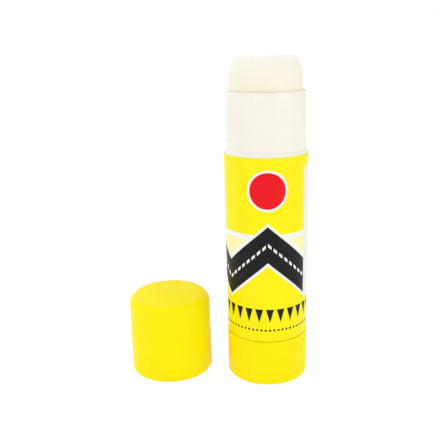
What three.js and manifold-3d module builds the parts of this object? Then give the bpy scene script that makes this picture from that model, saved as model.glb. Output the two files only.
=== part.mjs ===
// A twist-up glue stick, standing open with its cap beside it.
//
// Turning the knob turns a screw spindle inside the tube. Two ribs in the bore keep the carrier
// from turning, so its nut climbs the spindle and pushes the glue out of the neck.
// Millimetres, +Z up. The origin is where the stick's axis meets the table.

import * as THREE from "three";
import { mergeVertices, toCreasedNormals } from "three/addons/utils/BufferGeometryUtils.js";
import Module from "manifold-3d";

const wasm = await Module();
wasm.setup();

// How finely round forms are faceted
const roundFacets = 60;
const screwFacets = 18;
const arcSteps = 4;
const beadSteps = 3;

// Tube: body, neck and spigot in one moulding. The body's draft makes it wider at the shoulder.
const boreRadius = 11.0;
const neckWall = 0.87;
const neckHeight = 17.05;
const rimRounding = 0.3;
const shoulderStep = 0.58;
const shoulderSlope = 0.7;
const bodyHeight = 57.39;
const bodyDraft = 0.18;
const tubeFloorThickness = 1.2;
const tubeFloorRise = 0.9;
const spigotLength = 8.4;
const spigotWall = 1.1;
const spigotLeadIn = 0.5;
const neckRingHeight = 0.15;
const neckRingWidth = 1.2;
const neckRingRise = 1.85;

// Guide ribs in the bore, at the mould's parting line
const ribCount = 2;
const ribHeight = 0.45;
const ribWidth = 1.4;
const ribTopInset = 1.6;

// Label: a printed film wrapped round the body, its end lapped over its start
const labelThickness = 0.12;
const labelGlueGap = 0.03;
const labelTopInset = 0.35;
const labelFootInset = 0.05;
const labelLap = 3.5;
const labelSeamAngle = 112;

// Knob: a cup that turns on the tube's spigot
const knobHeight = 14.62;
const knobProud = 0.15;
const knobWall = 1.05;
const knobBase = 1.5;
const knobFootRounding = 0.66;
const knobRimChamfer = 0.25;
const knobRibCount = 6;
const knobRibThickness = 0.9;
const knobRibGap = 0.8;
const knobPadRadius = 6.0;
const knobFootRingWidth = 1.4;
const knobRecessDepth = 0.4;
const seamGap = 0.15;
const hubWall = 1.5;
const socketRise = 0.9;

// Spindle: pressed into the knob's hub, snapped through the tube's floor
const lead = 6.5;
const coreRadius = 2.35;
const crestRadius = 3.3;
const threadRootWidth = 2.6;
const threadCrestWidth = 1.3;
const journalRadius = 3.7;
const snapReach = 0.45;
const snapHeight = 1.4;
const collarReach = 1.6;
const collarThickness = 1.4;
const pegRadius = 3.3;
const pegSides = 6;
const spindleTipInset = 8.5;
const spindleTipLength = 1.2;

// Carrier: an H-section piston with a tapped hub
const carrierHeight = 17.0;
const carrierWall = 0.9;
const carrierWebRise = 8.0;
const carrierWebThickness = 1.1;
const carrierChamfer = 0.4;
const nutRadius = 5.0;
const nutCollarHeight = 2.0;
const finCount = 4;
const finThickness = 0.9;
const finHeight = 5.0;

// Glue: cast in the tube, with the tip that the closed tube's end gave it
const glueExtension = 9.7;
const glueRecess = 3.4;
const tipBevelWidth = 1.85;
const tipBevelHeight = 4.3;
const tipRounding = 0.7;

// Cap: drafted shell with a sealing skirt that plugs the tube's mouth
const capWall = 1.15;
const capHeight = 25.86;
const capDraft = 0.23;
const capCeiling = 1.3;
const capCrownRounding = 3.3;
const capMouthRounding = 0.9;
const capBeadHeight = 0.2;
const capBeadWidth = 1.2;
const capBeadRise = 1.0;
const sealWall = 0.8;
const sealEntry = 2.2;

// Where the cap stands on the table: how far from the knob, and in which direction
const capStandGap = 5.8;
const capStandAngle = 173.87;

// Clearances
const capClearance = 0.2;
const sealClearance = 0.05;
const spigotClearance = 0.12;
const floorHoleClearance = 0.1;
const axialPlay = 0.2;
const pressClearance = 0.05;
const carrierClearance = 0.2;
const threadClearance = 0.2;
const notchClearance = 0.2;
const castGap = 0.1;
const stopGap = 0.3;
const glueClearance = 0.12;

// Radii that follow from them
const neckRadius = boreRadius + neckWall;
const bodyRadius = neckRadius + shoulderStep;
const labelInnerRadius = bodyRadius + labelGlueGap;
const labelRadius = labelInnerRadius + labelThickness;
const knobRadius = labelRadius + knobProud;
const knobInnerRadius = knobRadius - knobWall;
const spigotRadius = knobInnerRadius - spigotClearance;
const spigotInnerRadius = spigotRadius - spigotWall;
const floorHoleRadius = journalRadius + floorHoleClearance;
const socketRadius = pegRadius + pressClearance;
const hubRadius = socketRadius + hubWall;
const carrierRadius = boreRadius - carrierClearance;
const cupRadius = carrierRadius - carrierWall;
const glueRadius = boreRadius - glueClearance;
const glueHoleRadius = crestRadius + threadClearance + castGap;
const capMouthInner = neckRadius + capClearance;
const capMouthRadius = capMouthInner + capWall;

// Heights that follow from them
const footZ = knobHeight + seamGap;
const shoulderZ = footZ + bodyHeight;
const rimZ = shoulderZ + shoulderSlope + neckHeight;
const tubeFloorZ = footZ + tubeFloorRise;
const tubeFloorTopZ = tubeFloorZ + tubeFloorThickness;
const spigotZ = footZ - spigotLength;
const collarTopZ = tubeFloorZ - axialPlay;
const collarZ = collarTopZ - collarThickness;
const hubTopZ = collarZ - pressClearance;
const socketZ = knobBase + socketRise;
const pegZ = socketZ + stopGap;
const snapZ = tubeFloorTopZ + axialPlay;
const threadFootZ = snapZ + snapHeight;
const spindleTopZ = rimZ - spindleTipInset;
const carrierLowZ = tubeFloorTopZ + stopGap;
const windDown = glueExtension + glueRecess;
const carrierZ = carrierLowZ + windDown;
const webZ = carrierZ + carrierWebRise;
const webTopZ = webZ + carrierWebThickness;
const nutZ = threadFootZ + stopGap + windDown;
const nutTopZ = webTopZ + nutCollarHeight;
const cupRimZ = carrierZ + carrierHeight;
const glueTopZ = rimZ + glueExtension;
const glueHoleTopZ = spindleTopZ + windDown + stopGap;

// How far a piece is pushed into the one that it is joined to, so that they fuse
const fuse = 0.3;

// A closed three.js geometry as a solid that can be joined and cut
function solidOf(geometry) {
  const bare = geometry.clone();
  bare.deleteAttribute("normal");
  bare.deleteAttribute("uv");
  const merged = mergeVertices(bare, 1e-4);
  const mesh = new wasm.Mesh({
    numProp: 3,
    vertProperties: merged.attributes.position.array,
    triVerts: new Uint32Array(merged.index.array),
  });
  return new wasm.Manifold(mesh);
}

// An arc in a profile, from one angle to another in degrees, 0 pointing away from the axis
function arc(radius, z, size, from, to, steps = arcSteps) {
  const points = [];
  for (let i = 0; i <= steps; i++) {
    const angle = THREE.MathUtils.degToRad(from + ((to - from) * i) / steps);
    points.push([radius + size * Math.cos(angle), z + size * Math.sin(angle)]);
  }
  return points;
}

// A low rounded bead on a wall, bulging outwards (reach > 0) or inwards (reach < 0), from z up
function bead(radius, z, reach, width, steps = beadSteps) {
  const points = [];
  for (let i = 0; i <= steps; i++) {
    const share = i / steps;
    points.push([radius + reach * Math.sin(Math.PI * share), z + width * share]);
  }
  return points;
}

// A profile of [radius, height] pairs turned round the Z axis.
// It runs up the outside, from the axis to the axis or back to its own start.
function turned(profile, facets = roundFacets) {
  const points = profile.map(([radius, height]) => new THREE.Vector2(radius, height));
  return solidOf(new THREE.LatheGeometry(points, facets).rotateX(Math.PI / 2));
}

// The same for a ring, whose profile is closed here
function turnedRing(profile, facets = roundFacets) {
  return turned([...profile, profile[0]], facets);
}

// A box that runs outwards along X from one radius to another, turned to an angle in degrees
function radialBar(innerRadius, outerRadius, width, lowZ, highZ, angle) {
  const bar = new THREE.BoxGeometry(outerRadius - innerRadius, width, highZ - lowZ);
  bar.translate((innerRadius + outerRadius) / 2, 0, (lowZ + highZ) / 2);
  bar.rotateZ(THREE.MathUtils.degToRad(angle));
  return solidOf(bar);
}

// Solids spaced evenly round the axis, each made at its own angle in degrees.
// The first stands at that share of a step, its phase.
function around(count, phase, makeAt) {
  return Array.from({ length: count }, (_, i) => makeAt((360 * (i + phase)) / count));
}

// A solid with others joined to it, or cut out of it
const joined = (solid, others) => others.reduce((whole, other) => whole.add(other), solid);
const cut = (solid, others) => others.reduce((rest, other) => rest.subtract(other), solid);

// A thread's ridge: a trapezium carried round a left-hand helix. Turning the screw
// anticlockwise, seen from above, then lifts a nut that is kept from turning.
// Its phase is fixed at z = 0, so a screw and a nut that are both made by it are in mesh.
function threadRidge(lowZ, highZ, root, crest, rootWidth, crestWidth) {
  const steps = Math.ceil(((highZ - lowZ) / lead) * screwFacets);
  const section = [
    [root, -rootWidth / 2],
    [crest, -crestWidth / 2],
    [crest, crestWidth / 2],
    [root, rootWidth / 2],
  ];
  const positions = [];
  for (let i = 0; i <= steps; i++) {
    const z = lowZ + (i * lead) / screwFacets;
    const angle = (-2 * Math.PI * z) / lead;
    for (const [radius, rise] of section) {
      positions.push(radius * Math.cos(angle), radius * Math.sin(angle), z + rise);
    }
  }
  const triangles = [];
  for (let i = 0; i < steps; i++) {
    for (let j = 0; j < 4; j++) {
      const here = 4 * i + j;
      const side = 4 * i + ((j + 1) % 4);
      triangles.push(here, side, side + 4, here, side + 4, here + 4);
    }
  }
  const end = 4 * steps;
  triangles.push(0, 2, 1, 0, 3, 2, end, end + 1, end + 2, end, end + 2, end + 3);
  const geometry = new THREE.BufferGeometry();
  geometry.setAttribute("position", new THREE.Float32BufferAttribute(positions, 3));
  geometry.setIndex(triangles);
  return solidOf(geometry);
}

// The ribs in the bore, or with a gap, the channels that let a piece slide along them
function guideRibs(gap, lowZ, highZ) {
  const innerRadius = boreRadius - ribHeight - gap;
  const width = ribWidth + 2 * gap;
  return around(ribCount, 0, (angle) =>
    radialBar(innerRadius, boreRadius + fuse, width, lowZ, highZ, angle),
  );
}

// Tube
function makeTube() {
  const shell = turnedRing([
    [floorHoleRadius, tubeFloorZ],
    [spigotInnerRadius, tubeFloorZ],
    [spigotInnerRadius, spigotZ],
    [spigotRadius - spigotLeadIn, spigotZ],
    [spigotRadius, spigotZ + spigotLeadIn],
    [spigotRadius, footZ],
    [bodyRadius, footZ],
    [bodyRadius + bodyDraft, shoulderZ],
    [neckRadius, shoulderZ + shoulderSlope],
    ...bead(neckRadius, shoulderZ + shoulderSlope + neckRingRise, neckRingHeight, neckRingWidth),
    ...arc(neckRadius - rimRounding, rimZ - rimRounding, rimRounding, 0, 90, 3),
    [boreRadius + rimRounding / 2, rimZ],
    [boreRadius, rimZ - rimRounding / 2],
    [boreRadius, tubeFloorTopZ],
    [floorHoleRadius, tubeFloorTopZ],
  ]);
  return joined(shell, guideRibs(0, tubeFloorTopZ - fuse, rimZ - ribTopInset));
}

// Label: one strip that goes once round the body, climbs over its own start and ends there
function makeLabel() {
  const stepAngle = 360 / roundFacets;
  const lapAngle = THREE.MathUtils.radToDeg(labelLap / labelRadius);
  const climb = labelThickness + labelGlueGap;
  const angles = [];
  for (let angle = 0; angle < 360; angle += stepAngle) angles.push(angle);
  angles.push(360, 360 + lapAngle / 2, 360 + lapAngle);
  // The facets stay in line with the tube's, and the strip lifts over its start in one facet.
  const seam = Math.round(labelSeamAngle / stepAngle) * stepAngle;
  const at = (radius, angle) => {
    const turn = THREE.MathUtils.degToRad(angle + seam);
    return new THREE.Vector2(radius * Math.cos(turn), radius * Math.sin(turn));
  };
  const innerEdge = angles.map((angle) => at(labelInnerRadius + (angle < 360 ? 0 : climb), angle));
  const outerEdge = angles.map((angle) => at(labelRadius + (angle < 360 ? 0 : climb), angle));
  const strip = new THREE.Shape([...outerEdge, ...innerEdge.reverse()]);
  const lowZ = footZ + labelFootInset;
  const highZ = shoulderZ - labelTopInset;
  const film = new THREE.ExtrudeGeometry(strip, { depth: highZ - lowZ, bevelEnabled: false });
  return solidOf(drafted(film.translate(0, 0, lowZ)));
}

// A film wrapped straight, widened with its height as the body under it is
function drafted(film) {
  const corners = film.attributes.position;
  for (let i = 0; i < corners.count; i++) {
    const share = (corners.getZ(i) - footZ) / bodyHeight;
    const widening = 1 + (bodyDraft * share) / labelInnerRadius;
    corners.setXY(i, corners.getX(i) * widening, corners.getY(i) * widening);
  }
  return film;
}

// Knob
function makeKnob() {
  const footRingInner = knobRadius - knobFootRounding - knobFootRingWidth;
  const cup = turned([
    [0, 0],
    [knobPadRadius, 0],
    [knobPadRadius, knobRecessDepth],
    [footRingInner, knobRecessDepth],
    [footRingInner, 0],
    ...arc(knobRadius - knobFootRounding, knobFootRounding, knobFootRounding, -90, 0),
    [knobRadius, knobHeight - knobRimChamfer],
    [knobRadius - knobRimChamfer, knobHeight],
    [knobInnerRadius + knobRimChamfer, knobHeight],
    [knobInnerRadius, knobHeight - knobRimChamfer],
    [knobInnerRadius, knobBase],
    [hubRadius, knobBase],
    [hubRadius, hubTopZ],
    [0, hubTopZ],
  ]);
  const lowZ = knobBase - fuse;
  const highZ = spigotZ - knobRibGap;
  const ribs = around(knobRibCount, 0.5, (angle) =>
    radialBar(hubRadius - fuse, knobInnerRadius + fuse, knobRibThickness, lowZ, highZ, angle),
  );
  const socket = peg(socketRadius, socketZ, hubTopZ + fuse);
  return joined(cup, ribs).subtract(socket);
}

// The spindle's many-sided foot, or the socket for it
function peg(radius, lowZ, highZ) {
  return turned([[0, lowZ], [radius, lowZ], [radius, highZ], [0, highZ]], pegSides);
}

// Spindle
function makeSpindle() {
  const stem = turned(
    [
      [0, collarZ],
      [journalRadius + collarReach, collarZ],
      [journalRadius + collarReach, collarTopZ],
      [journalRadius, collarTopZ],
      [journalRadius, snapZ],
      [journalRadius + snapReach, snapZ],
      [journalRadius + snapReach, snapZ + snapHeight / 3],
      [coreRadius, threadFootZ],
      [coreRadius, spindleTopZ - spindleTipLength],
      [coreRadius / 2, spindleTopZ],
      [0, spindleTopZ],
    ],
    screwFacets,
  );
  const ridge = threadRidge(
    threadFootZ + threadRootWidth / 2,
    spindleTopZ - spindleTipLength - threadRootWidth / 2,
    coreRadius - fuse,
    crestRadius,
    threadRootWidth,
    threadCrestWidth,
  );
  return stem.add(ridge).add(peg(pegRadius, pegZ, collarZ + fuse));
}

// Carrier
function makeCarrier() {
  const piston = turned([
    [0, nutZ],
    [nutRadius, nutZ],
    [nutRadius, webZ],
    [cupRadius, webZ],
    [cupRadius, carrierZ],
    [carrierRadius - carrierChamfer, carrierZ],
    [carrierRadius, carrierZ + carrierChamfer],
    [carrierRadius, cupRimZ - carrierChamfer],
    [carrierRadius - carrierChamfer, cupRimZ],
    [cupRadius, cupRimZ],
    [cupRadius, webTopZ],
    [nutRadius, webTopZ],
    [nutRadius, nutTopZ],
    [0, nutTopZ],
  ]);
  const notches = guideRibs(notchClearance, carrierZ - fuse, cupRimZ + fuse);
  const hole = tappedHole(nutZ - fuse, nutTopZ + fuse);
  return cut(joined(piston, fins(0)), [...notches, hole]);
}

// The fins that anchor the glue, or with a gap, the slots that they leave in it
function fins(gap) {
  const innerRadius = nutRadius - fuse - gap;
  const outerRadius = cupRadius + fuse + gap;
  const highZ = webTopZ + finHeight + gap;
  return around(finCount, 0.5, (angle) =>
    radialBar(innerRadius, outerRadius, finThickness + 2 * gap, webTopZ - fuse, highZ, angle),
  );
}

// What a nut that runs on the spindle has cut out of it
function tappedHole(lowZ, highZ) {
  const core = coreRadius + threadClearance;
  const bore = turned([[0, lowZ], [core, lowZ], [core, highZ], [0, highZ]], screwFacets);
  const groove = threadRidge(
    lowZ - lead / 2,
    highZ + lead / 2,
    core - fuse,
    crestRadius + threadClearance,
    threadRootWidth + 2 * threadClearance,
    threadCrestWidth + 2 * threadClearance,
  );
  return bore.add(groove);
}

// Glue
function makeGlue() {
  const plugRadius = cupRadius - castGap;
  const tipRadius = glueRadius - tipBevelWidth;
  const block = turned([
    [0, glueHoleTopZ],
    [glueHoleRadius, glueHoleTopZ],
    [glueHoleRadius, nutTopZ + castGap],
    [nutRadius + castGap, nutTopZ + castGap],
    [nutRadius + castGap, webTopZ + castGap],
    [plugRadius, webTopZ + castGap],
    [plugRadius, cupRimZ + castGap],
    [glueRadius, cupRimZ + castGap],
    [glueRadius, glueTopZ - tipBevelHeight - tipRounding],
    [glueRadius - tipBevelWidth / 8, glueTopZ - tipBevelHeight + tipRounding],
    [tipRadius, glueTopZ - tipRounding],
    [tipRadius - tipRounding / 3, glueTopZ - tipRounding / 4],
    [tipRadius - tipRounding, glueTopZ],
    [0, glueTopZ],
  ]);
  return cut(block, [...fins(castGap), ...guideRibs(castGap, webTopZ, glueTopZ + fuse)]);
}

// Cap
function makeCap() {
  const narrowed = (radius, z) => radius - (capDraft * z) / capHeight;
  const crownZ = capHeight - capCrownRounding;
  const ceilingZ = capHeight - capCeiling;
  const innerRounding = capCrownRounding - capWall;
  const innerCrownZ = ceilingZ - innerRounding;
  const shell = turned([
    [0, ceilingZ],
    ...arc(narrowed(capMouthInner, innerCrownZ) - innerRounding, innerCrownZ, innerRounding, 90, 0, 3),
    ...bead(capMouthInner, capBeadRise, -capBeadHeight, capBeadWidth).reverse(),
    [capMouthInner, 0],
    ...arc(capMouthRadius - capMouthRounding, capMouthRounding, capMouthRounding, -90, 0),
    ...arc(narrowed(capMouthRadius, crownZ) - capCrownRounding, crownZ, capCrownRounding, 0, 90, 6),
    [0, capHeight],
  ]);
  const sealRadius = boreRadius - sealClearance;
  const sealZ = rimZ - shoulderZ - sealEntry;
  const seal = turnedRing([
    [sealRadius - sealWall, sealZ],
    [sealRadius - sealWall / 2, sealZ],
    [sealRadius, sealZ + sealWall],
    [sealRadius, ceilingZ + fuse],
    [sealRadius - sealWall, ceilingZ + fuse],
  ]);
  return shell.add(seal);
}

// Colours and finishes
const finishes = {
  yellow: new THREE.MeshStandardMaterial({ color: 0xfde915, roughness: 0.38 }),
  label: new THREE.MeshStandardMaterial({ color: 0xf8ee1c, roughness: 0.3 }),
  natural: new THREE.MeshStandardMaterial({ color: 0xf4f0e2, roughness: 0.45 }),
  white: new THREE.MeshStandardMaterial({ color: 0xf2f2ee, roughness: 0.5 }),
  glue: new THREE.MeshStandardMaterial({ color: 0xf6f1dc, roughness: 0.55 }),
};

// A named mesh from a solid, smooth across its rounds and sharp at its edges
function piece(name, solid, finish) {
  const { vertProperties, triVerts, numProp, numVert } = solid.getMesh();
  const positions = new Float32Array(numVert * 3);
  for (let i = 0; i < numVert; i++) {
    positions.set(vertProperties.subarray(i * numProp, i * numProp + 3), i * 3);
  }
  const geometry = new THREE.BufferGeometry();
  geometry.setAttribute("position", new THREE.BufferAttribute(positions, 3));
  geometry.setIndex(new THREE.BufferAttribute(triVerts, 1));
  const creaseAngle = THREE.MathUtils.degToRad(30);
  const mesh = new THREE.Mesh(toCreasedNormals(geometry, creaseAngle), finish);
  mesh.name = name;
  return mesh;
}

const stick = new THREE.Group();
stick.add(
  piece("tube", makeTube(), finishes.natural),
  piece("label", makeLabel(), finishes.label),
  piece("knob", makeKnob(), finishes.yellow),
  piece("spindle", makeSpindle(), finishes.white),
  piece("carrier", makeCarrier(), finishes.white),
  piece("glue", makeGlue(), finishes.glue),
);

const cap = piece("cap", makeCap(), finishes.yellow);
const capStand = new THREE.Vector2(capMouthRadius + capStandGap + knobRadius, 0);
capStand.rotateAround(new THREE.Vector2(), THREE.MathUtils.degToRad(capStandAngle));
cap.position.set(capStand.x, capStand.y, 0);

const glueStick = new THREE.Group();
glueStick.add(stick, cap);

export default glueStick;
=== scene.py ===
# %% [markdown]
# # A twist-up glue stick
#
# This lesson dresses an engineering model of a glue stick for a studio picture. The model was
# made first, as solids at their real size, and it can move: the knob turns a screw, the screw
# lifts a carrier with the glue in it, and the cap lifts off the table. Here each solid that
# shows gets a finer twin with soft moulded edges, and every surface gets its finish.
#
# The first step loads the solids. Each one sits at the origin with its place in its mesh, so
# whatever is modelled here in metres lands in the same place.

# %% Load the frame
import math

import bpy
from mathutils import Matrix, Vector


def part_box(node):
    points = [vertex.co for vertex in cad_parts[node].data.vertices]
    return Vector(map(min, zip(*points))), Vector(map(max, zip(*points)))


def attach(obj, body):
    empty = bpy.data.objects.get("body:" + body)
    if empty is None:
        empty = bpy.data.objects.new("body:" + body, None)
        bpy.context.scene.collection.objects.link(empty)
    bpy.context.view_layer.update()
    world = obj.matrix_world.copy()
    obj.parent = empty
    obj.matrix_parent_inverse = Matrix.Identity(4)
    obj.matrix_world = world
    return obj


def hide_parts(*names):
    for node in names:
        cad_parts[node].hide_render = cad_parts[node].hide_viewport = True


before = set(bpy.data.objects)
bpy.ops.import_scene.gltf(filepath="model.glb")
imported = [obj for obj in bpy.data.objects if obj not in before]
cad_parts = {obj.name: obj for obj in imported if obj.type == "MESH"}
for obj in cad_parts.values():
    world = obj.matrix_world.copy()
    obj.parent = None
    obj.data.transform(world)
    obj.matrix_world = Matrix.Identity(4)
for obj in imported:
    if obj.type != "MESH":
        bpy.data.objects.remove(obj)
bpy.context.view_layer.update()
MM = 0.001

# %% [markdown]
# An operator works on everything that is selected, and loading leaves the solids selected.
# So the first thing is to let go of them. Points are picked by code later on, which needs
# vertex selection.

# %% Start with nothing selected
bpy.ops.object.select_all(action="DESELECT")
bpy.context.scene.tool_settings.mesh_select_mode = (True, False, False)

# %% [markdown]
# ## The camera
#
# The picture was taken from about 20 cm, a little above the stick's rim and looking down by
# 15 degrees, with a trace of tilt. So near by, the proportions depend on the viewpoint: a lens
# of the same field of view at this exact place gives the same picture. Turns are applied from
# right to left: tilt about the line of sight, then pitch, then heading.

# %% Camera
CAMERA_PLACE = (-14.21 * MM, -186.56 * MM, 102.26 * MM)
CAMERA_PITCH = math.radians(15.477)
CAMERA_HEADING = math.radians(0.069)
CAMERA_TILT = math.radians(-1.493)
CAMERA_LENS = 50.84
CAMERA_SENSOR = 36.0

bpy.ops.object.camera_add()
camera = bpy.context.object
camera.data.lens = CAMERA_LENS
camera.data.sensor_width = CAMERA_SENSOR
camera.data.clip_start = 10 * MM
camera.matrix_world = (
    Matrix.Translation(CAMERA_PLACE)
    @ Matrix.Rotation(CAMERA_HEADING, 4, "Z")
    @ Matrix.Rotation(math.pi / 2 - CAMERA_PITCH, 4, "X")
    @ Matrix.Rotation(CAMERA_TILT, 4, "Z")
)
bpy.context.scene.camera = camera
print("camera at", [round(c / MM, 1) for c in camera.matrix_world.translation], "mm")

# %% [markdown]
# ## Shader maths in plain Python
#
# A procedural material is arithmetic on the place of each point: a stripe is a distance that
# is compared with a width. Wired by hand that takes dozens of Math nodes. The class below
# wraps one socket, and its operators add the nodes, so that a pattern reads like a formula.

# %% A value that turns arithmetic into nodes
class Value:
    def __init__(self, nodes, socket):
        self.nodes = nodes
        self.socket = socket

    def math(self, operation, *others):
        values = dict(enumerate((self, *others)))
        return self.nodes.node("ShaderNodeMath", {"operation": operation}, values, 0)

    def __add__(self, other):
        return self.math("ADD", other)

    def __sub__(self, other):
        return self.math("SUBTRACT", other)

    def __rsub__(self, other):
        return self.math("MULTIPLY_ADD", -1.0, other)

    def __mul__(self, other):
        return self.math("MULTIPLY", other)

    def __truediv__(self, other):
        return self.math("DIVIDE", other)

    def __abs__(self):
        return self.math("ABSOLUTE")

    __radd__ = __add__
    __rmul__ = __mul__

    def least(self, other):
        return self.math("MINIMUM", other)

    def most(self, other):
        return self.math("MAXIMUM", other)

    def clamped(self):
        return self.least(1.0).most(0.0)

    def whole_turns_off(self):
        return self.math("FRACT")

    def root(self):
        return self.math("SQRT")


# %% [markdown]
# There is one way to add any node: its type, the settings that come first, then the values or
# links of its sockets. A finish is a material that has this. Colours are written as the
# eight-bit numbers that a picture editor shows, and turned into the linear light that a
# renderer works with.

# %% A finish and its nodes
def linear(red, green, blue):
    shares = [level / 255 for level in (red, green, blue)]
    return (*[s / 12.92 if s <= 0.04045 else ((s + 0.055) / 1.055) ** 2.4 for s in shares], 1.0)


class Nodes:
    def __init__(self, tree):
        self.tree = tree

    def plug(self, socket, value):
        if isinstance(value, Value):
            self.tree.links.new(value.socket, socket)
        else:
            socket.default_value = value

    def node(self, kind, settings, values, output):
        node = self.tree.nodes.new(kind)
        for setting, value in settings.items():
            setattr(node, setting, value)
        for socket, value in values.items():
            self.plug(node.inputs[socket], value)
        return Value(self, node.outputs[output])


class Finish(Nodes):
    def __init__(self, name, **fixed):
        self.material = bpy.data.materials.new(name)
        self.material.use_nodes = True
        super().__init__(self.material.node_tree)
        self.surface = self.tree.nodes["Principled BSDF"]
        for socket, value in fixed.items():
            self.surface.inputs[socket.replace("_", " ")].default_value = value

    def place(self):
        return self.node("ShaderNodeTexCoord", {}, {}, "Object")

    def axes(self, vector):
        return [self.node("ShaderNodeSeparateXYZ", {}, {0: vector}, axis) for axis in "XYZ"]

    def stretched(self, vector, scale):
        return self.node("ShaderNodeMapping", {}, {"Vector": vector, "Scale": scale}, "Vector")

    def noise(self, vector, size, detail=2.0):
        values = {"Vector": vector, "Scale": 1 / size, "Detail": detail}
        return self.node("ShaderNodeTexNoise", {}, values, "Fac")

    def mix(self, share, first, second):
        values = {"Factor": share, 6: first, 7: second}
        return self.node("ShaderNodeMix", {"data_type": "RGBA"}, values, 2)

    def bump(self, height, depth):
        values = {"Height": height, "Distance": depth, "Strength": 1.0}
        normal = self.node("ShaderNodeBump", {}, values, "Normal")
        self.plug(self.surface.inputs["Normal"], normal)

    def varies(self, socket, value):
        self.plug(self.surface.inputs[socket], value)


# %% [markdown]
# ## Yellow moulded plastic
#
# The cap and the knob are moulded in one bright yellow polypropylene. Such plastic is satin,
# never mirror smooth: the mould leaves a faint pebbling, and handling leaves fine rubbing that
# shows only in the gloss. The colour is almost even. Two noises do this, a small one for the
# surface and a broad one for the colour. A third is stretched into streaks and stands for the
# rubbing, which runs round the cap, because it is pulled off with a twist, and up and down the
# knob. On the cap's crown a paler yellow is mixed in, as a painted highlight.

# %% Yellow plastic
def moulded_yellow(name, colour, deeper, rubbing, painted_highlight=None):
    finish = Finish(name, Specular_IOR_Level=0.1, Subsurface_Weight=0.4, Subsurface_Scale=2 * MM)
    place = finish.place()
    cloud = finish.noise(place, 9 * MM)
    pebbles = finish.noise(place, 0.5 * MM, detail=3.0)
    rubbed = finish.noise(finish.stretched(place, rubbing), 0.9 * MM, detail=4.0)
    shade = finish.mix(cloud * 0.6 + rubbed * 0.2, colour, deeper)
    if painted_highlight:
        # Painted highlight: a paler yellow mixed in where the light falls strongest, on the cap's crown.
        shade = finish.mix(painted_highlight(*finish.axes(place)) * (0.7 + 0.5 * rubbed), shade, YELLOW_PAINTED_HIGHLIGHT)
    finish.varies("Base Color", shade)
    finish.varies("Roughness", 0.34 + 0.12 * rubbed + 0.06 * pebbles)
    finish.bump(pebbles + 0.5 * rubbed, 0.006 * MM)
    return finish.material


# %% [markdown]
# The round of the cap's crown gets a painted highlight: a trace paler yellow where the light
# from above falls strongest. The highlit ring lies outside the flat top and above a certain
# height, so two distances mark it out, and each fades in over half a millimetre or so.

# %% Where the crown's painted highlight lies
cap_low, cap_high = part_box("cap")
CAP_PLACE = ((cap_low.x + cap_high.x) / 2, (cap_low.y + cap_high.y) / 2, 0)
CAP_RADIUS = (cap_high.x - cap_low.x) / 2
CAP_TOP = cap_high.z
HIGHLIGHT_BEYOND = CAP_RADIUS - 3.7 * MM
HIGHLIGHT_ABOVE = CAP_TOP - 0.85 * MM
HIGHLIGHT_EDGE = 0.6 * MM
print("cap radius", round(CAP_RADIUS / MM, 2), "painted highlight above", round(HIGHLIGHT_ABOVE / MM, 2), "mm")


def length(across, along):
    return (across * across + along * along).root()


# Mask of the painted highlight: the crown's round, outside the flat top and near the top.
def crown_painted_highlight(x, y, z):
    beyond = (length(x - CAP_PLACE[0], y - CAP_PLACE[1]) - HIGHLIGHT_BEYOND) / HIGHLIGHT_EDGE
    return beyond.clamped() * ((z - HIGHLIGHT_ABOVE) / HIGHLIGHT_EDGE).clamped()


# %% The two yellow finishes
CAP_YELLOW = linear(254, 233, 2)
CAP_DEEPER = linear(252, 227, 0)
KNOB_YELLOW = linear(254, 232, 6)
KNOB_DEEPER = linear(252, 227, 2)
# A paler yellow, painted on the crown's round as a highlight.
YELLOW_PAINTED_HIGHLIGHT = linear(254, 226, 46)
ROUND_RUBBING = (0.25, 0.25, 3.0)
UPRIGHT_RUBBING = (2.2, 2.2, 0.12)
# The cap's finish carries the painted highlight on its crown.
cap_plastic = moulded_yellow("cap_yellow", CAP_YELLOW, CAP_DEEPER, ROUND_RUBBING, painted_highlight=crown_painted_highlight)
knob_plastic = moulded_yellow("knob_yellow", KNOB_YELLOW, KNOB_DEEPER, UPRIGHT_RUBBING)
print("finishes", cap_plastic.name, knob_plastic.name)

# %% [markdown]
# ## Natural plastic
#
# The tube is polypropylene without dye, which is ivory and lets a little light through. Light
# that enters it spreads by a millimetre or two before it leaves, which is what the subsurface
# setting stands for. The inner pieces are of the same stuff with a little white in it. Both
# were drawn off a polished core, so they have fine upright marks.

# %% Natural and white plastic
def undyed(name, colour, deeper, spread):
    finish = Finish(name, Specular_IOR_Level=0.3, Subsurface_Weight=spread)
    finish.surface.inputs["Subsurface Scale"].default_value = 1.5 * MM
    finish.surface.inputs["Subsurface Radius"].default_value = MILKY
    place = finish.place()
    cloud = finish.noise(place, 7 * MM)
    pebbles = finish.noise(place, 0.45 * MM, detail=3.0)
    drawn = finish.noise(finish.stretched(place, (2.5, 2.5, 0.1)), 0.8 * MM, detail=3.0)
    finish.varies("Base Color", finish.mix(cloud * 0.7 + drawn * 0.3, colour, deeper))
    finish.varies("Roughness", 0.36 + 0.12 * drawn)
    finish.bump(pebbles * 0.6 + drawn, 0.005 * MM)
    return finish.material


MILKY = (1.0, 0.95, 0.85)
natural_plastic = undyed("natural_moulding", linear(241, 237, 226), linear(237, 232, 219), 0.3)
white_plastic = undyed("white_moulding", linear(242, 241, 236), linear(236, 235, 229), 0.1)
print("finishes", natural_plastic.name, white_plastic.name)

# %% [markdown]
# ## The glue
#
# The glue is a firm, waxy paste, cast hot in the tube. It is creamier than the tube and more
# see-through. The tip has dried and is whiter, and the colour deepens down to the rim. Its
# side was drawn along the bore as it was wound out, which leaves faint upright streaks, and a
# few tiny bubbles opened at the surface. The bubbles come from cell noise: the distance to the
# nearest of many scattered points, cut off where it is small.

# %% Glue
GLUE_DRY = linear(235, 233, 224)
GLUE_MOIST = linear(240, 235, 214)
DRY_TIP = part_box("glue")[1].z
MOIST_BELOW = 10.0 * MM
BUBBLE_CELL = 1.9 * MM
BUBBLE_SHARE = 0.09


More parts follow.
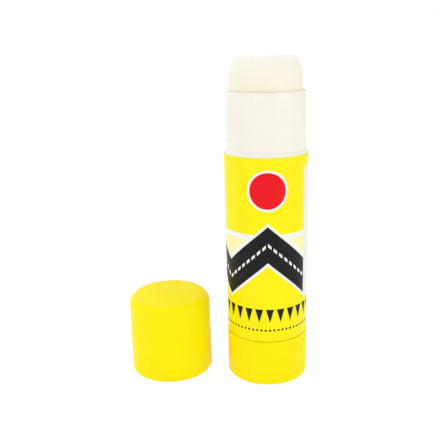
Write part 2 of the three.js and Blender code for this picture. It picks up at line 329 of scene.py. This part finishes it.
def cast_glue():
    finish = Finish("glue_paste", Specular_IOR_Level=0.3, Subsurface_Weight=0.5)
    finish.surface.inputs["Subsurface Scale"].default_value = 2.5 * MM
    finish.surface.inputs["Subsurface Radius"].default_value = (1.0, 0.9, 0.7)
    place = finish.place()
    cloud = finish.noise(place, 5 * MM, detail=3.0)
    wax = finish.noise(place, 1.1 * MM, detail=4.0)
    streaks = finish.noise(finish.stretched(place, (1.6, 1.6, 0.07)), 0.7 * MM, detail=3.0)
    cells = {"Vector": place, "Scale": 1 / BUBBLE_CELL}
    distance = finish.node("ShaderNodeTexVoronoi", {}, cells, "Distance")
    pits = (1.0 - distance / BUBBLE_SHARE).clamped()
    height = finish.axes(place)[2]
    moist = (DRY_TIP - height) / MOIST_BELOW + 0.3 * (cloud + wax) - 0.2
    finish.varies("Base Color", finish.mix(moist.clamped(), GLUE_DRY, GLUE_MOIST))
    finish.varies("Roughness", 0.42 + 0.16 * wax + 0.1 * pits)
    finish.bump(wax + streaks * 0.8 - pits * 1.5, 0.025 * MM)
    return finish.material


glue_paste = cast_glue()
print("finish", glue_paste.name)

# %% [markdown]
# ## The printed label
#
# A label is print on a cylinder, so its pattern is laid out flat and then wrapped: the angle
# round the stick times the radius gives millimetres across, and the height gives millimetres
# up. The tube's body is a trace wider at its top, so the radius here is the mean. Each printed
# shape is then a distance. Where the distance falls below zero there is ink, with a soft edge
# a twentieth of a millimetre wide, as a press gives.
#
# The design is a plain one that goes three times round: a bold black zigzag with a white
# border and a dashed white line in it, a red disc over each of its peaks and a white wedge in
# each notch, a row of small black flags with fine dots below, and at the back right a white
# panel with ruled lines.

# %% Where the print lies
label_low, label_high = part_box("label")
BODY_DRAFT = 0.18 * MM
LABEL_TOP_RADIUS = label_high.x
LABEL_FOOT_RADIUS = LABEL_TOP_RADIUS - BODY_DRAFT
LABEL_RADIUS = (LABEL_FOOT_RADIUS + LABEL_TOP_RADIUS) / 2
LABEL_FOOT = label_low.z
LABEL_TOP = label_high.z
INK_EDGE = 0.05 * MM
REPEATS = 3
REPEAT_WIDTH = 2 * math.pi * LABEL_RADIUS / REPEATS
PEAK_ANGLE = math.radians(-2.5)
print("label radius", round(LABEL_RADIUS / MM, 2), "height", round((LABEL_TOP - LABEL_FOOT) / MM, 2))

# %% Ink, and places that repeat round the label
def inked(distance):
    return (0.5 - distance / INK_EDGE).clamped()


def off_centre(angle, count, start=0.0):
    """Millimetres, as metres, from the nearest of several places spaced evenly round."""
    turns = (angle - start) * (count / (2 * math.pi)) + 0.5
    return (turns.whole_turns_off() - 0.5) * (2 * math.pi * LABEL_RADIUS / count)


# %% [markdown]
# The zigzag's middle line falls away from each peak at an even slope, so its height is the
# peak's, less the distance from the peak times the slope. Everything in the band is then a
# matter of how far above or below that line a point lies.

# %% Zigzag, discs and wedges
PEAK_HEIGHT = 46.0 * MM
NOTCH_HEIGHT = 34.2 * MM
SLOPE = (PEAK_HEIGHT - NOTCH_HEIGHT) / (REPEAT_WIDTH / 2)
BAND_HALF = 5.6 * MM
BAND_BORDER = 1.0 * MM
DASH_HALF = 0.5 * MM
DASHES = 48
DASH_LENGTH = 1.0 * MM
DISC_HEIGHT = 62.2 * MM
DISC_RADIUS = 5.4 * MM
DISC_BORDER = 0.7 * MM
WEDGE_TOP = 49.0 * MM
WEDGE_FRAME = 1.7 * MM


def band_offset(angle, height):
    return height - (PEAK_HEIGHT - abs(off_centre(angle, REPEATS, PEAK_ANGLE)) * SLOPE)


def dashes(angle, offset):
    along = abs(off_centre(angle, DASHES)) - DASH_LENGTH / 2
    return along.most(abs(offset) - DASH_HALF)


def disc(angle, height):
    return length(off_centre(angle, REPEATS, PEAK_ANGLE), height - DISC_HEIGHT) - DISC_RADIUS


def wedge(offset, height, inset):
    return (height - (WEDGE_TOP - inset)).most(BAND_HALF + inset - offset)


# %% [markdown]
# The flags hang from a line that isn't drawn: each is a triangle on its point. The panel is a
# rectangle with round corners, and its lines stop short of its edges, as on a name plate that
# is to be written on.

# %% Flags, dots and the panel
FLAGS = 24
FLAG_TOP = 25.5 * MM
FLAG_DROP = 4.4 * MM
FLAG_HALF = 1.25 * MM
DOTS = 60
DOT_HEIGHT = 18.6 * MM
DOT_RADIUS = 0.36 * MM
PANEL_LEFT = math.radians(57.2)
PANEL_RIGHT = math.radians(150)
PANEL_LOW = 27.0 * MM
PANEL_HIGH = 68.5 * MM
PANEL_ROUNDING = 1.4 * MM
PANEL_MIDDLE = (PANEL_LEFT + PANEL_RIGHT) / 2
PANEL_HALF = (PANEL_RIGHT - PANEL_LEFT) / 2 * LABEL_RADIUS
RULE_STEP = 6.5 * MM
RULE_MARGIN = 2.6 * MM
RULE_HALF = 0.11 * MM


def flag(angle, height):
    side = abs(off_centre(angle, FLAGS)) - (height - (FLAG_TOP - FLAG_DROP)) * (FLAG_HALF / FLAG_DROP)
    return side.most(height - FLAG_TOP)


def dot(angle, height):
    return length(off_centre(angle, DOTS), height - DOT_HEIGHT) - DOT_RADIUS


def panel(angle, height, rounding=PANEL_ROUNDING, inset=0.0):
    across = abs(angle - PANEL_MIDDLE) * LABEL_RADIUS - (PANEL_HALF - rounding - inset)
    half_height = (PANEL_HIGH - PANEL_LOW) / 2 - rounding - inset
    up = abs(height - (PANEL_LOW + PANEL_HIGH) / 2) - half_height
    return length(across.most(0.0), up.most(0.0)) - rounding


def rules(angle, height):
    rows = (height - PANEL_LOW) / RULE_STEP
    row = abs(rows.whole_turns_off() - 0.5) * RULE_STEP - RULE_HALF
    return row.most(panel(angle, height, rounding=0.0, inset=RULE_MARGIN))


# %% [markdown]
# The inks go on one over another: the yellow ground, then white, pale yellow, red and black, and
# last the white dashes and the panel with its lines. Printed film is glossier than the moulded
# parts, and ink lies on it in a layer thin enough to change the gloss but not the shape. The
# panel is duller, so that it can be written on.

# %% Label finish
LABEL_YELLOW = linear(245, 235, 10)
LABEL_DEEPER = linear(243, 229, 4)
INK_PALE = linear(244, 238, 172)
INK_BLACK = linear(26, 24, 26)
INK_RED = linear(230, 14, 28)
INK_WHITE = linear(239, 237, 233)
INK_PANEL = linear(232, 232, 225)
INK_GREY = linear(150, 150, 156)


def printed_film():
    finish = Finish("label_print", Specular_IOR_Level=0.12, Coat_Roughness=0.22, Coat_IOR=1.4)
    place = finish.place()
    x, y, height = finish.axes(place)
    angle = x.math("ARCTAN2", y * -1.0)
    offset = band_offset(angle, height)
    black = inked(abs(offset) - BAND_HALF).most(inked(flag(angle, height)))
    black = black.most(inked(dot(angle, height)))
    round_disc = disc(angle, height)
    border = inked(abs(offset) - BAND_HALF - BAND_BORDER).most(inked(round_disc - DISC_BORDER))
    bare = inked(panel(angle, height))
    inks = (
        (INK_WHITE, border.most(inked(wedge(offset, height, 0.0)))),
        (INK_PALE, inked(wedge(offset, height, WEDGE_FRAME))),
        (INK_RED, inked(round_disc)),
        (INK_BLACK, black),
        (INK_WHITE, inked(dashes(angle, offset))),
        (INK_PANEL, bare),
        (INK_GREY, inked(rules(angle, height))),
    )
    colour = finish.mix(finish.noise(place, 12 * MM), LABEL_YELLOW, LABEL_DEEPER)
    for ink, share in inks:
        colour = finish.mix(share, colour, ink)
    grain = finish.noise(place, 0.25 * MM, detail=1.0)
    waves = finish.noise(finish.stretched(place, (1.0, 1.0, 0.4)), 6 * MM)
    finish.varies("Base Color", colour)
    finish.varies("Roughness", 0.3 + 0.08 * grain + 0.05 * black)
    finish.varies("Coat Weight", 0.06 - 0.03 * bare)
    finish.bump(waves * 4.0 + grain, 0.004 * MM)
    return finish.material


label_print = printed_film()
print("finish", label_print.name, "with", len(label_print.node_tree.nodes), "nodes")

# %% [markdown]
# ## Turned shapes
#
# Every moulded part here is round, so each is made as on a lathe. A profile is drawn corner by
# corner: a plane is merged to one point, and the point is extruded along the outline. The
# corners that a mould would round are then bevelled, each by its own radius, while the profile
# is still only a line. That is much easier than rounding the finished solid. The profile is
# last spun about the upright axis.

# %% Pick a point by its place
TINY = 0.0005 * MM


def pick_point(piece, place):
    bpy.ops.object.mode_set(mode="OBJECT")
    mesh = piece.data
    for group in (mesh.vertices, mesh.edges, mesh.polygons):
        group.foreach_set("select", [False] * len(group))
    for point in mesh.vertices:
        point.select = math.dist((point.co.x, point.co.z), place) < TINY
    bpy.ops.object.mode_set(mode="EDIT")


# %% Draw a profile
def draw_profile(name, corners):
    bpy.ops.mesh.primitive_plane_add(size=MM)
    piece = bpy.context.object
    piece.name = name
    piece.data.name = name
    bpy.ops.object.mode_set(mode="EDIT")
    bpy.ops.mesh.merge(type="CENTER")
    bpy.ops.transform.translate(value=(corners[0][0], 0, corners[0][1]))
    for before, after in zip(corners, corners[1:]):
        step = (after[0] - before[0], 0, after[1] - before[1])
        bpy.ops.mesh.extrude_region_move(TRANSFORM_OT_translate={"value": step})
    bpy.ops.mesh.select_all(action="SELECT")
    bpy.ops.mesh.remove_doubles(threshold=TINY)
    return piece


# %% [markdown]
# A bevel is set by how far it reaches along the two edges of the corner. For a round of a given
# radius, that is the radius times the tangent of half the angle that the outline turns by.

# %% Round the corners
ARC_STEP = math.radians(12)


def round_corners(piece, corners):
    outline = [corner[:2] for corner in corners]
    for (before, here, after), corner in zip(zip(outline, outline[1:], outline[2:]), corners[1:]):
        radius = corner[2] if len(corner) > 2 else 0
        if radius == 0:
            continue
        incoming = math.atan2(here[1] - before[1], here[0] - before[0])
        outgoing = math.atan2(after[1] - here[1], after[0] - here[0])
        turn = abs(math.remainder(outgoing - incoming, 2 * math.pi))
        pick_point(piece, here)
        bpy.ops.mesh.bevel(
            offset=radius * math.tan(turn / 2),
            segments=max(2, round(turn / ARC_STEP)),
            affect="VERTICES",
            clamp_overlap=False,
        )


# %% [markdown]
# Spinning by a full turn leaves the last copy of the profile on the first, and any point on the
# axis many times over. Merging closes the seam and the poles. Then the faces are turned to
# point outwards.

# %% Spin it
SPIN_STEPS = 162


def turned(name, corners):
    piece = draw_profile(name, corners)
    round_corners(piece, corners)
    bpy.ops.mesh.select_all(action="SELECT")
    bpy.ops.mesh.spin(steps=SPIN_STEPS, angle=2 * math.pi, center=(0, 0, 0), axis=(0, 0, 1))
    bpy.ops.mesh.select_all(action="SELECT")
    bpy.ops.mesh.remove_doubles(threshold=TINY)
    bpy.ops.mesh.normals_make_consistent(inside=False)
    return piece


# %% [markdown]
# What isn't round, such as a rib or a slot, is a bar that is joined to the turned shape or cut
# out of it with a Boolean modifier. The bars are made as one object: each starts as a cube at
# its size, and is turned to its angle about the stick's axis.

# %% Bars, and joining and cutting
def bars(angles, inner, outer, width, low, high):
    if bpy.context.mode != "OBJECT":
        bpy.ops.object.mode_set(mode="OBJECT")
    bpy.ops.object.select_all(action="DESELECT")
    made = []
    for angle in angles:
        place = ((inner + outer) / 2, 0, (low + high) / 2)
        bpy.ops.mesh.primitive_cube_add(size=1)
        bar = bpy.context.object
        bpy.ops.object.mode_set(mode="EDIT")
        bpy.ops.transform.resize(value=(outer - inner, width, high - low))
        bpy.ops.transform.translate(value=place)
        turn = {"value": -math.radians(angle), "orient_axis": "Z", "center_override": (0, 0, 0)}
        bpy.ops.transform.rotate(**turn)
        bpy.ops.object.mode_set(mode="OBJECT")
        made.append(bar)
    for bar in made:
        bar.select_set(True)
    bpy.ops.object.join()
    return bpy.context.object


def shaped(piece, operation, tool):
    if bpy.context.mode != "OBJECT":
        bpy.ops.object.mode_set(mode="OBJECT")
    bpy.ops.object.select_all(action="DESELECT")
    bpy.context.view_layer.objects.active = piece
    bpy.ops.object.modifier_add(type="BOOLEAN")
    modifier = piece.modifiers[-1]
    modifier.operation = operation
    modifier.object = tool
    bpy.ops.object.modifier_apply(modifier=modifier.name)
    bpy.data.objects.remove(tool)


# %% [markdown]
# Every finished piece gets its material, rides on the body that it moves with, and stands in
# for its solid. Shading is made smooth except across edges sharper than 30 degrees.

# %% Finish a piece
SMOOTH_BELOW = math.radians(30)


def finished(piece, material, body, node):
    if bpy.context.mode != "OBJECT":
        bpy.ops.object.mode_set(mode="OBJECT")
    bpy.ops.object.select_all(action="DESELECT")
    piece.select_set(True)
    bpy.context.view_layer.objects.active = piece
    bpy.ops.object.shade_smooth_by_angle(angle=SMOOTH_BELOW)
    piece.data.materials.clear()
    piece.data.materials.append(material)
    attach(piece, body)
    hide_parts(node)
    corners = [Vector(point.co) for point in piece.data.vertices]
    sides = [max(c[axis] for c in corners) - min(c[axis] for c in corners) for axis in range(3)]
    print(piece.name, [round(side / MM, 2) for side in sides], "mm,", len(piece.data.polygons), "faces")
    bpy.ops.object.select_all(action="DESELECT")


# %% [markdown]
# ## The tube
#
# One moulding, made as a closed ring profile: from the floor's hole under the floor and down
# the inside of the spigot, up the outside to the rim, over it and down the bore. The outside
# steps in at the shoulder, where the cap's mouth comes to rest, and carries a low ring that the
# cap snaps over. The rim is rounded on both sides, as it meets paper and fingers.

# %% Tube sizes
tube_low, tube_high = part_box("tube")
BODY_TOP_RADIUS = tube_high.x
BODY_FOOT_RADIUS = BODY_TOP_RADIUS - BODY_DRAFT
SPIGOT_FOOT = tube_low.z
RIM = tube_high.z
BORE_RADIUS = 11.0 * MM
NECK_RADIUS = 11.87 * MM
SHOULDER = LABEL_TOP + 0.35 * MM
SHOULDER_SLOPE = 0.7 * MM
TUBE_FOOT = LABEL_FOOT - 0.05 * MM
FLOOR = TUBE_FOOT + 0.9 * MM
FLOOR_TOP = FLOOR + 1.2 * MM
FLOOR_HOLE = 3.8 * MM
SPIGOT_RADIUS = 11.58 * MM
SPIGOT_INSIDE = 10.48 * MM
RING_FOOT = SHOULDER + SHOULDER_SLOPE + 1.85 * MM
RING_WIDTH = 1.2 * MM
RING_HEIGHT = 0.15 * MM
RIM_ROUNDING = 0.3 * MM

# %% Tube
tube = turned("tube_moulding", [
    (FLOOR_HOLE, FLOOR),
    (SPIGOT_INSIDE, FLOOR, 0.3 * MM),
    (SPIGOT_INSIDE, SPIGOT_FOOT, 0.15 * MM),
    (SPIGOT_RADIUS, SPIGOT_FOOT, 0.5 * MM),
    (SPIGOT_RADIUS, TUBE_FOOT, 0.15 * MM),
    (BODY_FOOT_RADIUS, TUBE_FOOT, 0.03 * MM),
    (BODY_TOP_RADIUS, SHOULDER, 0.5 * MM),
    (NECK_RADIUS, SHOULDER + SHOULDER_SLOPE, 0.4 * MM),
    (NECK_RADIUS, RING_FOOT, 0.5 * MM),
    (NECK_RADIUS + RING_HEIGHT, RING_FOOT + RING_WIDTH / 2, 0.6 * MM),
    (NECK_RADIUS, RING_FOOT + RING_WIDTH, 0.5 * MM),
    (NECK_RADIUS, RIM, RIM_ROUNDING),
    (BORE_RADIUS, RIM, RIM_ROUNDING / 3),
    (BORE_RADIUS, FLOOR_TOP, 0.2 * MM),
    (FLOOR_HOLE, FLOOR_TOP),
    (FLOOR_HOLE, FLOOR),
])

# %% [markdown]
# Two ribs run down the bore, on the left and the right, and keep the carrier from turning.

# %% Guide ribs in the bore
RIB_HEIGHT = 0.45 * MM
RIB_WIDTH = 1.4 * MM
RIB_TOP = RIM - 1.6 * MM
SUNK = 0.3 * MM

ribs = bars((0, 180), BORE_RADIUS - RIB_HEIGHT, BORE_RADIUS + SUNK, RIB_WIDTH, FLOOR_TOP - SUNK, RIB_TOP)
shaped(tube, "UNION", ribs)
finished(tube, natural_plastic, "tube", "tube")

# %% [markdown]
# ## The label's film
#
# The film goes once round the tube, and its end laps over its start. It is made the way it is
# stuck on: an upright line is swept nearly all the way round, lifted by the film's thickness
# and swept a little further. Solidify then gives the sheet its thickness.

# %% Film
FILM = 0.12 * MM
FILM_LIFT = FILM + 0.03 * MM
FILM_SEAM = math.radians(114)
FILM_RAMP = math.radians(4)
FILM_LAP = math.radians(16)
LAP_STEPS = 6
FILM_ROWS = 12

film_radius = LABEL_RADIUS - FILM
film_line = [(LABEL_FOOT_RADIUS - FILM, LABEL_FOOT), (LABEL_TOP_RADIUS - FILM, LABEL_TOP)]
film = draw_profile("label_film", film_line)
bpy.ops.mesh.subdivide(number_cuts=FILM_ROWS - 1)
bpy.ops.transform.rotate(value=-FILM_SEAM, orient_axis="Z", center_override=(0, 0, 0))
sweep = 2 * math.pi - FILM_RAMP
bpy.ops.mesh.spin(steps=SPIN_STEPS, angle=-sweep, center=(0, 0, 0), axis=(0, 0, 1))
lift = (film_radius + FILM_LIFT) / film_radius
bpy.ops.mesh.extrude_region_move()
bpy.ops.transform.rotate(value=-FILM_RAMP, orient_axis="Z", center_override=(0, 0, 0))
bpy.ops.transform.resize(value=(lift, lift, 1), center_override=(0, 0, 0))
bpy.ops.mesh.spin(steps=LAP_STEPS, angle=-FILM_LAP, center=(0, 0, 0), axis=(0, 0, 1))
bpy.ops.mesh.select_all(action="SELECT")
bpy.ops.mesh.remove_doubles(threshold=TINY)
bpy.ops.mesh.normals_make_consistent(inside=False)
bpy.ops.object.mode_set(mode="OBJECT")
bpy.ops.object.modifier_add(type="SOLIDIFY")
film.modifiers[-1].thickness = FILM
film.modifiers[-1].offset = 1.0
bpy.ops.object.modifier_apply(modifier=film.modifiers[-1].name)
finished(film, label_print, "tube", "label")

# %% [markdown]
# ## The knob
#
# A deep cup that turns on the tube's spigot. Its foot has a shallow ring recess, so that the
# stick stands on a true rim and pad, and the mark where the plastic was let into the mould is
# at its centre.

# %% Knob sizes
knob_low, knob_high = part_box("knob")
KNOB_RADIUS = knob_high.x
KNOB_TOP = knob_high.z
KNOB_INSIDE = KNOB_RADIUS - 1.05 * MM
KNOB_BASE = 1.5 * MM
FOOT_ROUNDING = 0.66 * MM
PAD_RADIUS = 6.0 * MM
RECESS_RADIUS = KNOB_RADIUS - FOOT_ROUNDING - 1.4 * MM
RECESS_DEPTH = 0.4 * MM
GATE_RADIUS = 0.9 * MM
GATE_DEPTH = 0.2 * MM
HUB_RADIUS = 4.85 * MM
HUB_TOP = TUBE_FOOT - 0.75 * MM

# %% Knob
knob = turned("knob_cup", [
    (0, GATE_DEPTH),
    (GATE_RADIUS, GATE_DEPTH, 0.1 * MM),
    (GATE_RADIUS, 0, 0.08 * MM),
    (PAD_RADIUS, 0, 0.12 * MM),
    (PAD_RADIUS, RECESS_DEPTH, 0.1 * MM),
    (RECESS_RADIUS, RECESS_DEPTH, 0.1 * MM),
    (RECESS_RADIUS, 0, 0.12 * MM),
    (KNOB_RADIUS, 0, FOOT_ROUNDING),
    (KNOB_RADIUS, KNOB_TOP, 0.04 * MM),
    (KNOB_INSIDE, KNOB_TOP, 0.22 * MM),
    (KNOB_INSIDE, KNOB_BASE, 0.3 * MM),
    (HUB_RADIUS, KNOB_BASE, 0.3 * MM),
    (HUB_RADIUS, HUB_TOP, 0.15 * MM),
    (0, HUB_TOP),
])

# %% [markdown]
# Inside are six stiffening ribs, and a six-sided socket in the hub that grips the screw's foot.
# The socket's cutter is a six-sided cylinder. Its first corner points along +Y, and so does the
# corner of the screw's foot.

# %% Ribs and socket in the knob
SOCKET_RADIUS = 3.35 * MM
SOCKET_FLOOR = 2.4 * MM
KNOB_RIB = 0.9 * MM
KNOB_RIB_TOP = SPIGOT_FOOT - 0.8 * MM

rib_angles = range(30, 390, 60)
ribs = bars(rib_angles, HUB_RADIUS - SUNK, KNOB_INSIDE + SUNK, KNOB_RIB, KNOB_BASE - SUNK, KNOB_RIB_TOP)
shaped(knob, "UNION", ribs)
socket_height = HUB_TOP + SUNK - SOCKET_FLOOR
bpy.ops.mesh.primitive_cylinder_add(vertices=6, radius=SOCKET_RADIUS, depth=socket_height)
socket = bpy.context.object
bpy.ops.object.mode_set(mode="EDIT")
bpy.ops.transform.translate(value=(0, 0, SOCKET_FLOOR + socket_height / 2))
shaped(knob, "DIFFERENCE", socket)
finished(knob, knob_plastic, "knob", "knob")

# %% [markdown]
# ## The cap
#
# The cap is a thin shell that narrows a little towards its closed end, so that it leaves the
# mould, with a generous round where the side meets the top. Inside, a second, shorter skirt
# plugs the tube's mouth and keeps the glue moist, and a low bead snaps over the tube's ring.
# One profile holds all of it. It is turned on the axis of the origin and then moved to where
# the cap stands.

# %% Cap sizes
CAP_INSIDE = CAP_RADIUS - 1.15 * MM
CAP_DRAFT = 0.23 * MM
CAP_CEILING = CAP_TOP - 1.3 * MM
OUTER_CEILING = CAP_CEILING - 0.6 * MM
CAP_CROWN = 3.3 * MM
CAP_MOUTH_ROUNDING = 0.9 * MM
BEAD_RISE = 1.0 * MM
BEAD_WIDTH = 1.2 * MM
BEAD_HEIGHT = 0.2 * MM
SEAL_RADIUS = 10.95 * MM
SEAL_INSIDE = SEAL_RADIUS - 0.8 * MM
SEAL_FOOT = RIM - SHOULDER - 2.2 * MM

# %% Cap
cap = turned("cap_shell", [
    (0, CAP_CEILING),
    (SEAL_INSIDE, CAP_CEILING, 0.4 * MM),
    (SEAL_INSIDE, SEAL_FOOT, 0.2 * MM),
    (SEAL_RADIUS, SEAL_FOOT, 0.5 * MM),
    (SEAL_RADIUS, OUTER_CEILING, 0.1 * MM),
    (CAP_INSIDE - CAP_DRAFT, OUTER_CEILING, 0.4 * MM),
    (CAP_INSIDE, BEAD_RISE + BEAD_WIDTH, 0.5 * MM),
    (CAP_INSIDE - BEAD_HEIGHT, BEAD_RISE + BEAD_WIDTH / 2, 0.6 * MM),
    (CAP_INSIDE, BEAD_RISE, 0.5 * MM),
    (CAP_INSIDE, 0, 0.1 * MM),
    (CAP_RADIUS, 0, CAP_MOUTH_ROUNDING),
    (CAP_RADIUS - CAP_DRAFT, CAP_TOP, CAP_CROWN),
    (0, CAP_TOP),
])
bpy.ops.mesh.select_all(action="SELECT")
bpy.ops.transform.translate(value=CAP_PLACE)
finished(cap, cap_plastic, "cap", "cap")

# %% [markdown]
# ## The block of glue
#
# The block fills the carrier's cup and the bore. Its tip has the bevel that the closed mould
# gave it. Cast paste shrinks as it sets, so the top is a little dished and its edge is soft.

# %% Glue sizes
glue_low, glue_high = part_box("glue")
GLUE_RADIUS = glue_high.y + 0.07 * MM
GLUE_TOP = glue_high.z
GLUE_FOOT = glue_low.z
TIP_WIDTH = 1.85 * MM
TIP_HEIGHT = 4.3 * MM
TIP_DISH = 0.06 * MM
HOLE_RADIUS = 3.6 * MM
HOLE_TOP = GLUE_TOP - 4.8 * MM
PLUG_RADIUS = 9.8 * MM
CUP_RIM = GLUE_FOOT + 7.9 * MM
NUT_CLEAR = 5.1 * MM
NUT_TOP = GLUE_FOOT + 2.0 * MM

# %% Glue
glue = turned("glue_block", [
    (0, HOLE_TOP),
    (HOLE_RADIUS, HOLE_TOP, 0.5 * MM),
    (HOLE_RADIUS, NUT_TOP),
    (NUT_CLEAR, NUT_TOP),
    (NUT_CLEAR, GLUE_FOOT),
    (PLUG_RADIUS, GLUE_FOOT),
    (PLUG_RADIUS, CUP_RIM),
    (GLUE_RADIUS, CUP_RIM),
    (GLUE_RADIUS, GLUE_TOP - TIP_HEIGHT, 2.5 * MM),
    (GLUE_RADIUS - TIP_WIDTH, GLUE_TOP, 0.45 * MM),
    (GLUE_RADIUS - 2 * TIP_WIDTH, GLUE_TOP - TIP_DISH / 2, 2.0 * MM),
    (0, GLUE_TOP - TIP_DISH),
])

# %% [markdown]
# The paste was cast round the carrier's four fins and against the bore's two ribs, so it has
# their slots and grooves.

# %% Slots and grooves in the glue
CAST_GAP = 0.1 * MM
FIN_HALF = 0.45 * MM
FIN_TOP = GLUE_FOOT + 5.0 * MM

groove_inside = BORE_RADIUS - RIB_HEIGHT - CAST_GAP
groove_width = RIB_WIDTH + 2 * CAST_GAP
grooves = bars((0, 180), groove_inside, BORE_RADIUS + SUNK, groove_width, GLUE_FOOT - SUNK, GLUE_TOP + SUNK)
shaped(glue, "DIFFERENCE", grooves)
fin_angles = range(45, 405, 90)
slot_width = 2 * (FIN_HALF + CAST_GAP)
slots = bars(fin_angles, NUT_CLEAR - SUNK, PLUG_RADIUS + SUNK, slot_width, GLUE_FOOT - SUNK, FIN_TOP)
shaped(glue, "DIFFERENCE", slots)
finished(glue, glue_paste, "carrier", "glue")

# %% [markdown]
# ## Inner pieces
#
# The screw and the carrier are out of sight, and their solids already have their true shape.
# They keep it and only get their finish.

# %% Finish the screw and the carrier
for name in ("spindle", "carrier"):
    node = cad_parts[name]
    node.data.materials.clear()
    node.data.materials.append(white_plastic)
    print(name, "has", len(node.data.polygons), "faces")

# %% [markdown]
# ## Floor, background and light
#
# The picture has a bright, even studio light and a white ground. The floor is a white sheet
# that scatters light back up. The camera sees it lifted most of the way to plain white, so
# that only a breath of the shadow is left where the pieces stand.

# %% Floor
FLOOR_SIZE = 6.0
FLOOR_LIFT = 0.9
FLOOR_GLOW = 1.05

bpy.ops.mesh.primitive_plane_add(size=FLOOR_SIZE)
floor = bpy.context.object
floor.name = "floor"
sheet = Finish("floor_sheet", Roughness=0.9, Specular_IOR_Level=0.1)
sheet.surface.inputs["Base Color"].default_value = linear(250, 250, 250)
seen = sheet.node("ShaderNodeLightPath", {}, {}, "Is Camera Ray")
mirrored = sheet.node("ShaderNodeLightPath", {}, {}, "Is Glossy Ray")
glow = sheet.node("ShaderNodeEmission", {}, {"Strength": FLOOR_GLOW}, 0)
lit = Value(sheet, sheet.surface.outputs[0])
shown = sheet.node("ShaderNodeMixShader", {}, {0: seen.most(mirrored) * FLOOR_LIFT, 1: lit, 2: glow}, 0)
sheet.plug(sheet.tree.nodes["Material Output"].inputs["Surface"], shown)
floor.data.materials.append(sheet.material)

# %% [markdown]
# The surrounding light is white from all sides, which is what makes the picture so even, and
# stronger from the left, as beside a window. The camera sees it as plain white. The direction
# that the world is seen in is a vector, and its X part tells left from right.

# %% World
WORLD_EVEN = 0.745
WORLD_LEFT = 0.41
world = bpy.data.worlds.new("studio")
bpy.context.scene.world = world
world.use_nodes = True
sky = Nodes(world.node_tree)
direction = sky.node("ShaderNodeTexCoord", {}, {}, "Generated")
leftward = sky.node("ShaderNodeSeparateXYZ", {}, {0: direction}, "X") * -1.0
light = WORLD_EVEN + WORLD_LEFT * leftward.clamped()
seen = sky.node("ShaderNodeLightPath", {}, {}, "Is Camera Ray")
background = sky.tree.nodes["Background"]
background.inputs["Color"].default_value = (1, 1, 1, 1)
sky.plug(background.inputs["Strength"], light + seen * (1.0 - light))

# %% [markdown]
# Three large soft lamps fill in. Two stand low in front, one on each side, and the right one is
# stronger, to make up for the surrounding light, which comes more from the left. The third
# hangs overhead for the flat tops.

# %% Lamps
LAMP_AIM = Vector((-0.01, 0, 0.05))


def soft_lamp(name, place, size, power):
    bpy.ops.object.light_add(type="AREA", location=place)
    lamp = bpy.context.object
    lamp.name = name
    lamp.data.size = size
    lamp.data.energy = power
    lamp.rotation_euler = (LAMP_AIM - Vector(place)).to_track_quat("-Z", "Y").to_euler()
    print(name, "lamp", power, "W")


soft_lamp("right", place=(0.64, -0.57, 0.15), size=0.4, power=1.72)
soft_lamp("left", place=(-0.66, -0.55, 0.15), size=0.4, power=0.67)
soft_lamp("overhead", place=(-0.05, 0.1, 0.8), size=0.7, power=1.5)
bpy.ops.object.select_all(action="DESELECT")
bpy.context.scene.view_settings.view_transform = "Standard"
